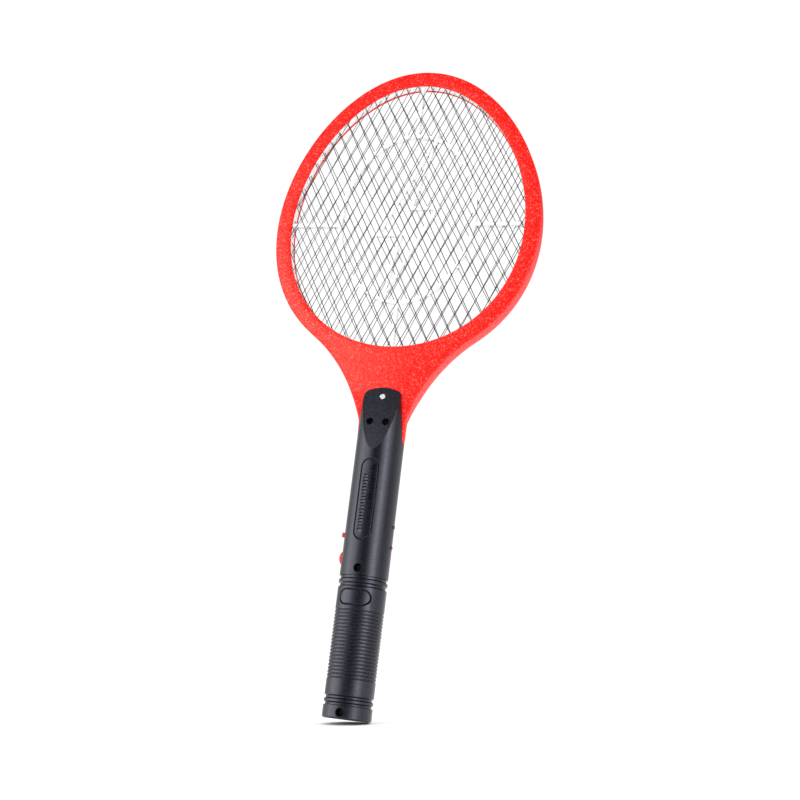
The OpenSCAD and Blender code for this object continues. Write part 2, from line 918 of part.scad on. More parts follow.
// Part with a lead at each end, lying along X on the board
module axial_part(body_r, x0, x1, lead_r, lead_len) {
    rod_x(body_r, x0, x1);
    rod_x(lead_r, x0 - lead_len, x1 + lead_len);
}

diode_z = 136;
diode_pitch = 3.6;

module rectifier_diodes() {
    color("black") for (i = [0 : 2]) translate([0, board_y - 1.4, diode_z + diode_pitch * i])
        axial_part(body_r = 1.3, x0 = -2.5, x1 = 2.7, lead_r = 0.35, lead_len = 3);
}

// Transistor: a round can with a flat, and three legs into the board
transistor_x = 4.5;
transistor_z = [127, 131.6];
can_r = 2.4;
leg_pitch = 1.3;
leg_len = 2;

module transistor() {
    color("black") intersection() {
        translate([transistor_x, -0.2, 0]) rod_z(can_r, transistor_z[0], transistor_z[1]);
        box([0, -far, transistor_z[0]], [far, can_r / 2, transistor_z[1]]);
    }
    color("silver") for (i = [-1 : 1])
        translate([transistor_x + leg_pitch * i, 0, transistor_z[0] - leg_len])
            box([-wire_half, 0, 0], [wire_half, board_y, leg_len]);
}

resistor_places = [[0, 118], [0, 122], [-1, 180.5]];

module resistors() {
    color("tan") for (place = resistor_places) translate([place[0], board_y - 1.1, place[1]])
        axial_part(body_r = 1.1, x0 = -0.6, x1 = 5.4, lead_r = 0.3, lead_len = 1.8);
}

// ---------- batteries ----------

module cell_places() {
    for (side = [-1, 1]) translate([side * cell_x, 0, 0]) children();
}

// Tray: two round ends joined by a back wall, a collar inside the spigot, and a tail
// that the handle screw's boss passes through
tray_end_r = 14.6;
tray_wall_r = 14.9;
tray_wall_half_w = 12.5;
tray_wall_y = 0.5;
tray_window_half_w = 9;
tray_window_y = 8.6;
collar_r = 13.2;
collar_z = [joint_z - 8, joint_z - 5];
tail_half_w = 6;
tail_y = [5, 8];
rivet_r = 2;
plate_slot = [[-13, -4], [13, 3.8]];
battery_lead_x = 9;
battery_lead_hole_r = 0.9;

module battery_tray() {
    tray_top_z = tray_head_z + tray_floor_t;
    color("black") difference() {
        union() {
            for (z = [tray_base_z, tray_head_z]) rod_z(tray_end_r, z, z + tray_floor_t);
            intersection() {
                rod_z(tray_wall_r, tray_base_z, tray_top_z);
                box([-tray_wall_half_w, tray_wall_y, tray_base_z], [tray_wall_half_w, far, tray_top_z]);
            }
            rod_z(collar_r, collar_z[0], collar_z[1]);
            box([-tail_half_w, tail_y[0], tray_head_z + over],
                [tail_half_w, tail_y[1], low_screw_z + boss_hole_r + 1.8]);
        }
        cell_places() {
            rod_z(cell_d / 2 + cell_gap, tray_base_z + tray_floor_t, tray_head_z);
            rod_z(rivet_r, tray_base_z - over, tray_base_z + tray_floor_t + over);
        }
        box([-tray_window_half_w, tray_window_y, tray_base_z + tray_floor_t],
            [tray_window_half_w, far, tray_head_z]);
        for (z = [tray_base_z + tray_floor_t, slot_z1])
            box([plate_slot[0][0], plate_slot[0][1], z], [plate_slot[1][0], plate_slot[1][1], z + plate_t]);
        translate([0, 0, low_screw_z]) rod_y(boss_hole_r, 0, far);
        for (side = [-1, 1])
            translate([side * battery_lead_x, lead_y, 0])
                rod_z(battery_lead_hole_r, tray_head_z - over, joint_z);
    }
}

cell_edge = 0.6;
nub_r = 2.7;

// AA cell standing on its flat end, with its nub on top
module cell() {
    r = cell_d / 2;
    rotate_extrude() polygon([
        [0, 0], [r - cell_edge, 0], [r, cell_edge], [r, cell_h - cell_edge],
        [r - cell_edge, cell_h], [nub_r, cell_h], [nub_r, cell_h + nub_h], [0, cell_h + nub_h]
    ]);
}

module battery_left() {
    color("khaki") translate([-cell_x, 0, slot_z0 + battery_spring_h]) cell();
}

module battery_right() {
    color("khaki") translate([cell_x, 0, slot_z1 - battery_spring_h]) mirror([0, 0, 1]) cell();
}

battery_wire_r = 0.4;
battery_coil_r = 3.6;

module battery_springs() {
    coil_h = battery_spring_h - 2 * battery_wire_r;
    color("silver") for (place = [[-cell_x, slot_z0], [cell_x, slot_z1 - battery_spring_h]])
        translate([place[0], 0, place[1] + battery_wire_r])
            coil(battery_coil_r, coil_h, turns = 4, wire_r = battery_wire_r, per_turn = 14);
}

// Contact plates: one that joins the cells at the foot, and one for each cell at the head
plate_half_w = 3.5;
plate_half_l = 4;
joining_end = 5;

module contact_plates() {
    color("silver") {
        box([-cell_x - joining_end, -plate_half_w, slot_z0 - plate_t],
            [cell_x + joining_end, plate_half_w, slot_z0]);
        cell_places()
            box([-plate_half_l, -plate_half_w, slot_z1], [plate_half_l, plate_half_w, tray_head_z]);
    }
}

// How far each lead overlaps the board and its grid's tab
board_lap = 8;
tab_lap = 4;
battery_lap = 3.5;

module battery_leads() {
    color("black") for (side = [-1, 1])
        translate([side * battery_lead_x, lead_y, 0])
            rod_z(lead_r, tray_head_z, board_z0 + battery_lap);
}

module centre_grid_lead() {
    color("red") translate([-lead_x, 0, 0]) {
        translate([0, lead_y, 0]) rod_z(lead_r, board_z1 - board_lap, tab_z0 + tab_lap);
        translate([0, 0, tab_z0 + tab_lap]) rod_y(lead_r, centre_grid_y + grid_t, lead_y);
    }
}

// The run up the neck, and a pin that joins the two outer grids' tabs
module outer_grid_lead() {
    color("black") translate([lead_x, 0, 0]) {
        translate([0, lead_y, 0]) rod_z(lead_r, board_z1 - board_lap, tab_z0);
        translate([0, 0, tab_z0 + tab_lap + over]) rod_y(lead_r, pack_y + grid_t, front_grid_y);
    }
}

// ---------- output ----------

head_back_shell();
head_front_shell();
back_grid();
back_spacer();
centre_grid();
front_spacer();
front_grid();
handle_back_shell();
handle_front_shell();
tongue_screw();
neck_screws();
handle_screw();
grip_sleeve();
end_cap();
end_cap_screw();
push_button();
button_spring();
push_switch_body();
slide_knob();
slide_switch_lever();
slide_switch_body();
indicator_lamps();
circuit_board();
transformer_core();
transformer_winding();
hv_capacitor();
rectifier_diodes();
transistor();
resistors();
battery_tray();
battery_left();
battery_right();
battery_springs();
contact_plates();
battery_leads();
centre_grid_lead();
outer_grid_lead();
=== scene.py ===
"""Electric fly swatter standing on its handle's end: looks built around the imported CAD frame.

Named lengths are in millimetres unless a comment says otherwise, and MM turns them into metres.
"""
import json
import math
from contextlib import contextmanager

import bmesh
import bpy
from mathutils import Matrix, Vector


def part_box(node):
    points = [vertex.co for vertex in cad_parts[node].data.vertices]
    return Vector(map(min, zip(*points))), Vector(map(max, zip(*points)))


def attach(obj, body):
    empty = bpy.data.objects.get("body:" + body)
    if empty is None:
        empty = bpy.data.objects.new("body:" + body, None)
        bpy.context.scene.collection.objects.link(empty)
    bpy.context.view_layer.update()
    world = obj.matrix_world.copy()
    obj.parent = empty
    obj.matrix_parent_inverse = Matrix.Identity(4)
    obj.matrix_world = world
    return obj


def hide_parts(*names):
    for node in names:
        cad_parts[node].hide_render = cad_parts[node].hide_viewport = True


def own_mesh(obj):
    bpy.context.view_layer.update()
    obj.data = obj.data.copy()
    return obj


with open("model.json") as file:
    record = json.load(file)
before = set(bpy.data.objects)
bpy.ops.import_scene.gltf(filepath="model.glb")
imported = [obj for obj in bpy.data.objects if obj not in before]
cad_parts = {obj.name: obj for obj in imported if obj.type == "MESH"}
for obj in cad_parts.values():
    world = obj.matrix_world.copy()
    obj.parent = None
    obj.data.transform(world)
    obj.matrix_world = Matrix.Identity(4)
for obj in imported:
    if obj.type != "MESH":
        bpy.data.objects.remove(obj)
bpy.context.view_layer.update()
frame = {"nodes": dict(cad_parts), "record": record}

MM = 0.001
# The body that each CAD node rides on, and its material slot
BODY = {n: b for b, ns in frame["record"]["behaviour"]["bodies"].items() for n in ns}
SLOT = {s["node"]: s["material_slot"] for s in frame["record"]["subparts"]}

# ---------------------------------------------------------------- camera
# Turn from -Y towards +X, height angle, and roll about the lens
CAM_AZ, CAM_EL, CAM_ROLL = math.radians(18.44), math.radians(-15.16), math.radians(7.052)
# Distance and target, in metres
CAM_DIST = 0.9088
CAM_TARGET = Vector((0, 0, 0.230))
# Sensor width and focal length, and lens shift as a share of the sensor's width
CAM_SENSOR, CAM_LENS = 36, 55.74
CAM_SHIFT = (0.01741, -0.00192)
# Nearest and farthest distance drawn, in metres
CAM_CLIP = (0.01, 50)


def make_camera():
    """Places the rolled camera and makes it the scene's camera."""
    away = Vector((math.sin(CAM_AZ) * math.cos(CAM_EL),
                   -math.cos(CAM_AZ) * math.cos(CAM_EL),
                   math.sin(CAM_EL)))
    level = Vector((math.cos(CAM_AZ), math.sin(CAM_AZ), 0))
    plumb = away.cross(level)
    right = level * math.cos(CAM_ROLL) + plumb * math.sin(CAM_ROLL)
    up = plumb * math.cos(CAM_ROLL) - level * math.sin(CAM_ROLL)
    data = bpy.data.cameras.new("camera")
    data.sensor_width = CAM_SENSOR
    data.lens = CAM_LENS
    data.shift_x, data.shift_y = CAM_SHIFT
    data.clip_start, data.clip_end = CAM_CLIP
    cam = bpy.data.objects.new("camera", data)
    bpy.context.scene.collection.objects.link(cam)
    place = Matrix((right, up, away)).transposed().to_4x4()
    place.translation = CAM_TARGET + away * CAM_DIST
    cam.matrix_world = place
    bpy.context.scene.camera = cam


make_camera()


# ---------------------------------------------------------------- shader nodes
def new_material(name):
    m = bpy.data.materials.new(name)
    m.use_nodes = True
    return m, m.node_tree, m.node_tree.nodes["Principled BSDF"]


def noise(nt, coords, scale, detail, rough):
    """Noise from 0 to 1 at a scale per metre."""
    n = nt.nodes.new("ShaderNodeTexNoise")
    n.inputs["Scale"].default_value = scale
    n.inputs["Detail"].default_value = detail
    n.inputs["Roughness"].default_value = rough
    nt.links.new(coords, n.inputs["Vector"])
    return n.outputs["Fac"]


def spread(nt, value, low, high, from_low=0.3, from_high=0.7):
    """Maps a value from one range to another and stops at both ends."""
    n = nt.nodes.new("ShaderNodeMapRange")
    n.inputs["From Min"].default_value = from_low
    n.inputs["From Max"].default_value = from_high
    n.inputs["To Min"].default_value = low
    n.inputs["To Max"].default_value = high
    nt.links.new(value, n.inputs["Value"])
    return n.outputs["Result"]


def two_colours(nt, value, dark, light, low=0.35, high=0.65):
    """Runs from dark at the low stop to light at the high stop."""
    n = nt.nodes.new("ShaderNodeValToRGB")
    for element, stop, colour in zip(n.color_ramp.elements, (low, high), (dark, light)):
        element.position = stop
        element.color = (*colour, 1)
    nt.links.new(value, n.inputs["Fac"])
    return n.outputs["Color"]


def math_node(nt, operation, *values):
    """A maths node whose inputs are numbers or sockets."""
    n = nt.nodes.new("ShaderNodeMath")
    n.operation = operation
    for k, value in enumerate(values):
        if isinstance(value, (int, float)):
            n.inputs[k].default_value = value
        else:
            nt.links.new(value, n.inputs[k])
    return n.outputs[0]


def bump_node(nt, height, strength, distance):
    n = nt.nodes.new("ShaderNodeBump")
    n.inputs["Strength"].default_value = strength
    n.inputs["Distance"].default_value = distance
    nt.links.new(height, n.inputs["Height"])
    return n


def axes(nt, kind):
    """X, Y and Z sockets of one kind of texture coordinate."""
    tex = nt.nodes.new("ShaderNodeTexCoord")
    split = nt.nodes.new("ShaderNodeSeparateXYZ")
    nt.links.new(tex.outputs[kind], split.inputs[0])
    return [split.outputs[k] for k in "XYZ"]


# ---------------------------------------------------------------- materials
def moulded(name, dark, light, roughness, grain, bump, depth, mottle, metallic=0.0, coat=0.0,
            specular=0.5, tint=(1, 1, 1), stretch=(1, 1, 1), stops=(0.35, 0.65)):
    """Moulded plastic or metal: mottled colour, uneven roughness and a fine surface grain.

    grain and mottle are noise scales per metre, and depth is the grain's height in metres. The colour
    runs from dark to light between the two stops of the noise.
    """
    m, nt, bsdf = new_material(name)
    tex = nt.nodes.new("ShaderNodeTexCoord")
    mapping = nt.nodes.new("ShaderNodeMapping")
    mapping.inputs["Scale"].default_value = stretch
    nt.links.new(tex.outputs["Object"], mapping.inputs["Vector"])
    coords = mapping.outputs["Vector"]
    broad = noise(nt, coords, mottle, 4.0, 0.6)
    fine = noise(nt, coords, grain, 2.0, 0.55)
    both = math_node(nt, "MULTIPLY_ADD", broad, 0.5, math_node(nt, "MULTIPLY", fine, 0.5))
    nt.links.new(two_colours(nt, both, dark, light, *stops), bsdf.inputs["Base Color"])
    nt.links.new(spread(nt, broad, roughness - 0.05, roughness + 0.05), bsdf.inputs["Roughness"])
    nt.links.new(bump_node(nt, fine, bump, depth).outputs["Normal"], bsdf.inputs["Normal"])
    bsdf.inputs["Metallic"].default_value = metallic
    bsdf.inputs["Coat Weight"].default_value = coat
    bsdf.inputs["Specular IOR Level"].default_value = specular
    bsdf.inputs["Specular Tint"].default_value = (*tint, 1)
    return m


LOOKS = {
    "red_shell": dict(
        dark=(0.86, 0.002, 0.001), light=(0.97, 0.1, 0.074), roughness=0.27, grain=800, bump=0.8,
        depth=0.0003, mottle=900, specular=0.34, tint=(1.0, 0.98, 0.82), stops=(0.53, 0.61)),
    "mesh_metal": dict(
        dark=(0.05, 0.053, 0.06), light=(0.11, 0.115, 0.125), roughness=0.5, grain=1500, bump=0.2,
        depth=0.00003, mottle=300, metallic=0.35, specular=0.3),
    "white_plastic": dict(
        dark=(0.93, 0.93, 0.93), light=(0.98, 0.98, 0.975), roughness=0.45, grain=900, bump=0.15,
        depth=0.00004, mottle=60),
    "handle_black": dict(
        dark=(0.0035, 0.0037, 0.0065), light=(0.0065, 0.0068, 0.0115), roughness=0.28, grain=1500,
        bump=0.35, depth=0.00005, mottle=400, tint=(0.94, 0.95, 1.12)),
    "screw_steel": dict(
        dark=(0.62, 0.63, 0.65), light=(0.82, 0.83, 0.85), roughness=0.22, grain=700, bump=0.1,
        depth=0.00002, mottle=200, metallic=1.0),
    "screw_black": dict(
        dark=(0.006, 0.006, 0.007), light=(0.016, 0.016, 0.018), roughness=0.45, grain=900, bump=0.1,
        depth=0.00002, mottle=200, metallic=0.3),
    "button_red": dict(
        dark=(0.70, 0.012, 0.012), light=(0.82, 0.03, 0.026), roughness=0.25, grain=900, bump=0.12,
        depth=0.00003, mottle=120, coat=0.3),
    "lamp_red": dict(
        dark=(0.09, 0.002, 0.005), light=(0.15, 0.005, 0.009), roughness=0.15, grain=900, bump=0.05,
        depth=0.00002, mottle=120, coat=0.3),
    "board_green": dict(
        dark=(0.02, 0.10, 0.035), light=(0.04, 0.16, 0.06), roughness=0.35, grain=500, bump=0.2,
        depth=0.00004, mottle=160),
    "ferrite": dict(
        dark=(0.03, 0.03, 0.033), light=(0.06, 0.06, 0.065), roughness=0.6, grain=800, bump=0.3,
        depth=0.00006, mottle=200),
    "copper_winding": dict(
        dark=(0.42, 0.13, 0.04), light=(0.62, 0.24, 0.09), roughness=0.3, grain=900, bump=0.6,
        depth=0.0001, mottle=200, metallic=0.9, stretch=(0.05, 0.05, 1)),
    "capacitor_brown": dict(
        dark=(0.16, 0.04, 0.012), light=(0.24, 0.07, 0.02), roughness=0.25, grain=500, bump=0.15,
        depth=0.00005, mottle=120),
    "component_black": dict(
        dark=(0.012, 0.012, 0.012), light=(0.025, 0.025, 0.025), roughness=0.5, grain=900, bump=0.2,
        depth=0.00004, mottle=200),
    "resistor_tan": dict(
        dark=(0.42, 0.30, 0.16), light=(0.56, 0.42, 0.26), roughness=0.4, grain=700, bump=0.15,
        depth=0.00004, mottle=200),
    "tray_black": dict(
        dark=(0.010, 0.010, 0.012), light=(0.018, 0.018, 0.021), roughness=0.5, grain=1200, bump=0.3,
        depth=0.00006, mottle=80),
    "battery_wrap": dict(
        dark=(0.03, 0.10, 0.05), light=(0.045, 0.14, 0.07), roughness=0.3, grain=400, bump=0.1,
        depth=0.00003, mottle=60, metallic=0.6, stretch=(1, 1, 0.1)),
    "lead_black": dict(
        dark=(0.012, 0.012, 0.012), light=(0.025, 0.025, 0.025), roughness=0.45, grain=900, bump=0.2,
        depth=0.00003, mottle=200),
    "lead_red": dict(
        dark=(0.35, 0.01, 0.01), light=(0.48, 0.02, 0.02), roughness=0.45, grain=900, bump=0.2,
        depth=0.00003, mottle=200),
}
MATERIAL = {name: moulded(name, **look) for name, look in LOOKS.items()}

# Engraved outlines: height of their middle, half their straight length, and their middle line's radius
BADGE_Z, BADGE_STRAIGHT, BADGE_R = 151.5, 22.7, 6.35
THUMB_Z, THUMB_STRAIGHT, THUMB_R = 82.3, 6.0, 5.25
# How far an engraved line's sides reach from its middle, and their depth
LINE_REACH, LINE_DEPTH = 0.7, 0.4


def stadium_line(nt, along, across, straight, radius):
    """Height 0 on the outline of a stadium with round ends, rising to 1 beside it."""
    ahead = math_node(nt, "MAXIMUM",
                      math_node(nt, "SUBTRACT", math_node(nt, "ABSOLUTE", along), straight * MM), 0.0)
    square = math_node(nt, "ADD", math_node(nt, "POWER", ahead, 2.0),
                       math_node(nt, "MULTIPLY", across, across))
    away = math_node(nt, "ABSOLUTE",
                     math_node(nt, "SUBTRACT", math_node(nt, "SQRT", square), radius * MM))
    return spread(nt, away, 0.0, 1.0, 0.0, LINE_REACH * MM)


def soften_lines(material):
    """Gives the outlines of the badge panel and the thumb mark sloping sides, on the -Y side only."""
    nt = material.node_tree
    grain = next(n for n in nt.nodes if n.bl_idname == "ShaderNodeBump")
    x, y, z = axes(nt, "Object")
    badge = stadium_line(nt, math_node(nt, "SUBTRACT", z, BADGE_Z * MM), x, BADGE_STRAIGHT, BADGE_R)
    thumb = stadium_line(nt, x, math_node(nt, "SUBTRACT", z, THUMB_Z * MM), THUMB_STRAIGHT, THUMB_R)
    height = math_node(nt, "MAXIMUM", math_node(nt, "MINIMUM", badge, thumb),
                       math_node(nt, "GREATER_THAN", y, 0.0))
    lines = bump_node(nt, height, 1.0, LINE_DEPTH * MM)
    nt.links.new(lines.outputs["Normal"], grain.inputs["Normal"])


soften_lines(MATERIAL["handle_black"])

# Middle height of the two cells together, how far each stands from it, and half a sleeve's length
CELLS_Z, CELL_OFFSET, SLEEVE_HALF = 53.25, 2.8, 23.3
STEEL = (0.55, 0.56, 0.58, 1)


def bare_ends(material):
    """Leaves the cells' steel bare beyond both ends of their printed sleeve."""
    nt = material.node_tree
    bsdf = nt.nodes["Principled BSDF"]
    x, _, z = axes(nt, "Object")
    offset = math_node(nt, "MULTIPLY", math_node(nt, "SIGN", x), CELL_OFFSET * MM)
    from_middle = math_node(nt, "ABSOLUTE",
                            math_node(nt, "ADD", math_node(nt, "SUBTRACT", z, CELLS_Z * MM), offset))
    steel = math_node(nt, "GREATER_THAN", from_middle, SLEEVE_HALF * MM)
    mix = nt.nodes.new("ShaderNodeMixRGB")
    nt.links.new(steel, mix.inputs["Fac"])
    nt.links.new(bsdf.inputs["Base Color"].links[0].from_socket, mix.inputs["Color1"])
    mix.inputs["Color2"].default_value = STEEL
    nt.links.new(mix.outputs["Color"], bsdf.inputs["Base Color"])
    nt.links.new(spread(nt, steel, 0.1, 1.0, 0.0, 1.0), bsdf.inputs["Metallic"])


bare_ends(MATERIAL["battery_wrap"])

# ---------------------------------------------------------------- mesh helpers
# A face lies flat across a direction if its normal is within one degree of it
FLAT_COS = math.cos(math.radians(1.0))
# Edges that turn more than this many degrees are bevelled
BEVEL_ANGLE = 35.0


@contextmanager
def edited(mesh):
    """Opens a mesh for editing and writes it back."""
    bm = bmesh.new()
    bm.from_mesh(mesh)
    yield bm
    bm.to_mesh(mesh)
    bm.free()


def add_piece(name, mesh, node, sharp):
    """A piece that stands for a CAD node and rides on its body. Edges steeper than sharp stay crisp."""
    mesh.materials.clear()
    mesh.materials.append(MATERIAL[SLOT[node]])
    for p in mesh.polygons:
        p.use_smooth = True
    mesh.set_sharp_from_angle(angle=math.radians(sharp))
    o = bpy.data.objects.new(name, mesh)
    bpy.context.scene.collection.objects.link(o)
    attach(o, BODY[node])
    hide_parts(node)
    return o


def mesh_from(name, points, faces, merge):
    """A mesh with points closer than merge metres joined, and its faces turned outwards."""
    mesh = bpy.data.meshes.new(name)
    mesh.from_pydata([Vector(p) for p in points], [], faces)
    with edited(mesh) as bm:
        bmesh.ops.remove_doubles(bm, verts=bm.verts, dist=merge)
        bmesh.ops.dissolve_degenerate(bm, edges=bm.edges, dist=merge)
        bmesh.ops.recalc_face_normals(bm, faces=bm.faces)
    return mesh


def clean_copy(node):
    """The node's mesh with its seams merged and its flat faces joined."""
    mesh = frame["nodes"][node].data.copy()
    mesh.name = node + "_looks"
    with edited(mesh) as bm:
        bmesh.ops.remove_doubles(bm, verts=bm.verts, dist=2e-6)
        bmesh.ops.dissolve_limit(bm, angle_limit=math.radians(0.4), verts=bm.verts, edges=bm.edges)
    for name in [a.name for a in mesh.attributes if a.name == "custom_normal"]:
        mesh.attributes.remove(mesh.attributes[name])
    return mesh


def mark_flats(mesh, flats):
    """Makes the outline of the faces that look along each given direction a crisp edge."""
    with edited(mesh) as bm:
        for normal in flats:
            n = Vector(normal).normalized()
            inside = {f.index for f in bm.faces if f.normal.dot(n) > FLAT_COS}
            for e in bm.edges:
                if len(e.link_faces) == 2 and len({f.index in inside for f in e.link_faces}) == 2:
                    e.smooth = False


def bevelled(node, name, width, flats=()):
    """A copy of a CAD node with its sharp edges rounded off."""
    o = add_piece(name, clean_copy(node), node, BEVEL_ANGLE)
    mark_flats(o.data, flats)
    mod = o.modifiers.new("edge", "BEVEL")
    mod.width = width * MM
    mod.segments = 3
    mod.limit_method = "ANGLE"
    mod.angle_limit = math.radians(BEVEL_ANGLE)
    mod.harden_normals = True
    mod.use_clamp_overlap = True


# ---------------------------------------------------------------- head outline
# The oval opening: half axes, height of its centre, and how much it narrows towards the top
A, B, ZC, EGG = 91.6, 107.7, 375.75, 0.105
RIM = 11.8
# Angle on the rim where the flare to the neck starts, and the flare's radius
FLARE_AT, FLARE_R = -56.0, 124.0
# The neck's half width, its lower end, and the height where it starts to thin towards that end
NECK_X, NECK_TIP, WEDGE_Z = 17.8, 196.0, 232.0
# Half thickness of the neck's tip and of the head
TIP_T, HALF_T = 2.6, 7.0
# Points on the neck's round end, its straight side, the flare and the rim
TIP_STEPS, SIDE_STEPS, FLARE_STEPS, RIM_STEPS = 6, 6, 36, 84


def oval(grow, a):
    """Point of the oval opening, grown outwards, at an angle in degrees from +X."""
    t = math.radians(a)
    return ((A + grow) * math.cos(t) * (1 - EGG * math.sin(t)), ZC + (B + grow) * math.sin(t))


def half_thickness(z):
    """Half the neck's thickness at a height: full above the wedge, a round tip below."""
    tip = NECK_TIP + TIP_T
    if z >= WEDGE_Z:
        return HALF_T
    if z >= tip:
        return TIP_T + (HALF_T - TIP_T) * (z - tip) / (WEDGE_Z - tip)
    return math.sqrt(max(0.0, TIP_T ** 2 - (tip - z) ** 2))


def head_contour():
    """The outline from the neck's tip up its right side to the top, and down its left side."""
    before, after = oval(RIM, FLARE_AT - 0.5), oval(RIM, FLARE_AT + 0.5)
    slope = Vector((after[0] - before[0], after[1] - before[1])).normalized()
    start = Vector(oval(RIM, FLARE_AT))
    centre = start + Vector((slope[1], -slope[0])) * FLARE_R
    z_join = centre[1] + math.sqrt(FLARE_R ** 2 - (centre[0] - NECK_X) ** 2)
    z_side = NECK_TIP + TIP_T
    low = math.atan2(z_join - centre[1], NECK_X - centre[0])
    high = math.atan2(start[1] - centre[1], start[0] - centre[0])
    turns = [low + (high - low) * k / FLARE_STEPS for k in range(FLARE_STEPS + 1)]
    right = [(NECK_X, NECK_TIP + TIP_T * (1 - math.cos(math.radians(90 * k / TIP_STEPS))))
             for k in range(TIP_STEPS + 1)]
    right += [(NECK_X, z_side + (z_join - z_side) * k / SIDE_STEPS) for k in range(1, SIDE_STEPS)]
    right += [(centre[0] + FLARE_R * math.cos(a), centre[1] + FLARE_R * math.sin(a)) for a in turns]
    right += [oval(RIM, FLARE_AT + (90 - FLARE_AT) * k / RIM_STEPS) for k in range(1, RIM_STEPS + 1)]
    return right + [(-x, z) for x, z in reversed(right[:-1])]


CONTOUR = head_contour()


def inward(points):
    """Unit vectors that point from each outline point into the part."""
    out = []
    n = len(points)
    for i in range(n):
        a, b = points[max(i - 1, 0)], points[min(i + 1, n - 1)]
        d = Vector((b[0] - a[0], b[1] - a[1])).normalized()
        out.append(Vector((-d[1], d[0])))
    out[0], out[-1] = Vector((-1, 0)), Vector((1, 0))
    return out


INWARD = inward(CONTOUR)

# ---------------------------------------------------------------- head shells
# Above this height each row of the shell runs to the opening, and below it to the neck's middle
SPLIT_Z = 257.0
SPLIT_X = min(x for x, z in CONTOUR if x > 0 and SPLIT_Z <= z < SPLIT_Z + 10)
SPLIT_ANGLE = math.degrees(math.atan2(SPLIT_Z - ZC, SPLIT_X))
GROOVE_DEPTH = 0.4
ROUND_ANGLES = (0, 18, 36, 54, 72, 90)
# How far the shells' parting faces reach under the opening, where the grid pack sits
SEAT_GROW = 6.2
# The opening's edge as (grow, y), from the flat face to the parting plane
BACK_EDGE = [(0.55, 7.0), (0.2, 6.9), (0.02, 6.6), (0.0, 6.2), (0.0, 5.2),
             (SEAT_GROW, 5.2), (SEAT_GROW, 0.0)]
FRONT_EDGE = [(8.3, 7.0), (7.95, 6.85), (7.8, 6.5), (7.8, 4.1), (0.5, 4.1), (0.12, 3.95), (0.0, 3.6),
              (0.0, 2.3), (SEAT_GROW, 2.3), (SEAT_GROW, 0.0)]


def opening_angle(i):
    """Angle on the opening that belongs to outline point i."""
    x, z = CONTOUR[i]
    a = math.degrees(math.atan2(z - ZC, x))
    if x < 0:
        a = 180 - a if a >= 0 else -180 - a
    if a < 0:
        a = max(a * 90.0 / -SPLIT_ANGLE, -90.0)
    return a if x >= 0 else 180 - a


def head_shell(name, side, node, round_r, edge):
    """One half of the head, with its outer edge rounded. side is -1 for the back half."""
    n = len(CONTOUR)
    first = next(i for i in range(n) if CONTOUR[i][1] >= SPLIT_Z)
    last = n - 1 - first
    pts, rows, faces = [], [], []
    for i in range(n):
        (x, z), d = CONTOUR[i], INWARD[i]
        t = half_thickness(z)
        r = min(round_r, 0.6 * t)
        g = min(GROOVE_DEPTH, 0.2 * t)
        row = [(x + g * d[0], 0.0, z + g * d[1]), (x, 0.6 * g, z)]
        for a in map(math.radians, ROUND_ANGLES):
            inset = r * (1 - math.cos(a))
            row.append((x + inset * d[0], t - r + r * math.sin(a), z + inset * d[1]))
        if first <= i <= last:
            a = -90.0 if i == first else 270.0 if i == last else opening_angle(i)
            for grow, y in edge:
                ox, oz = oval(grow, a)
                row.append((ox, y, oz))
        else:
            row += [(0.0, t, z), (0.0, 0.0, z)]
        rows.append(range(len(pts), len(pts) + len(row)))
        pts.extend((px * MM, side * py * MM, pz * MM) for px, py, pz in row)
    outer = 2 + len(ROUND_ANGLES)
    for i in range(n - 1):
        a, b = rows[i], rows[i + 1]
        across = len(a) - 1 if first <= i < last else outer
        faces += [(a[k], a[k + 1], b[k + 1], b[k]) for k in range(across)]
        faces.append((a[-1], a[0], b[0], b[-1]))
    mesh = mesh_from(name, pts, faces, 3e-6)
    with edited(mesh) as bm:
        bmesh.ops.holes_fill(bm, edges=[e for e in bm.edges if e.is_boundary], sides=0)
        bmesh.ops.recalc_face_normals(bm, faces=bm.faces)
    add_piece(name, mesh, node, 30.0)


head_shell("head_back", -1, "head_back_shell", 1.5, BACK_EDGE)
head_shell("head_front", 1, "head_front_shell", 3.0, FRONT_EDGE)

# ---------------------------------------------------------------- mesh grids
# Lean of the strands from upright, and how many strands lie each side of the middle one
LEAN, STRANDS = math.atan(0.5), 13
# Rows of half cells to each side that are searched for crossings
CROSSINGS = 24
# Longest half strand, shortest strand, and how far strands run past the opening
HALF_STRAND, SHORTEST, STRAND_GROW = 150, 6, 2.0
# Thickness of a strand, and how far the two families lie from the grid's middle
STRAND_T, FAMILY_Y = 0.5, 0.1
# Half height of the swelling at a crossing, and its length and width as shares of a strand's width
KNUCKLE_Y, KNUCKLE_LONG, KNUCKLE_WIDE = 0.38, 1.9, 0.95
# Crossings this close to the opening's edge get no swelling, on inside_oval's scale
KNUCKLE_LIMIT = -0.004
# Inner and outer edge of a grid's rim, outside the opening
RIM_IN, RIM_OUT = 1.6, 4.0
# Solder tab: its middle, half width, and the heights it spans
TAB_X, TAB_HALF, TAB_Z0, TAB_Z1 = 11.5, 1.5, 250.0, 266.0


def inside_oval(x, z, grow):
    """Negative inside the oval, positive outside."""
    s = max(-1.5, min(1.5, (z - ZC) / (B + grow)))
    wide = (A + grow) * (1 - EGG * max(-1.0, min(1.0, s)))
    return (x / wide) ** 2 + s * s - 1


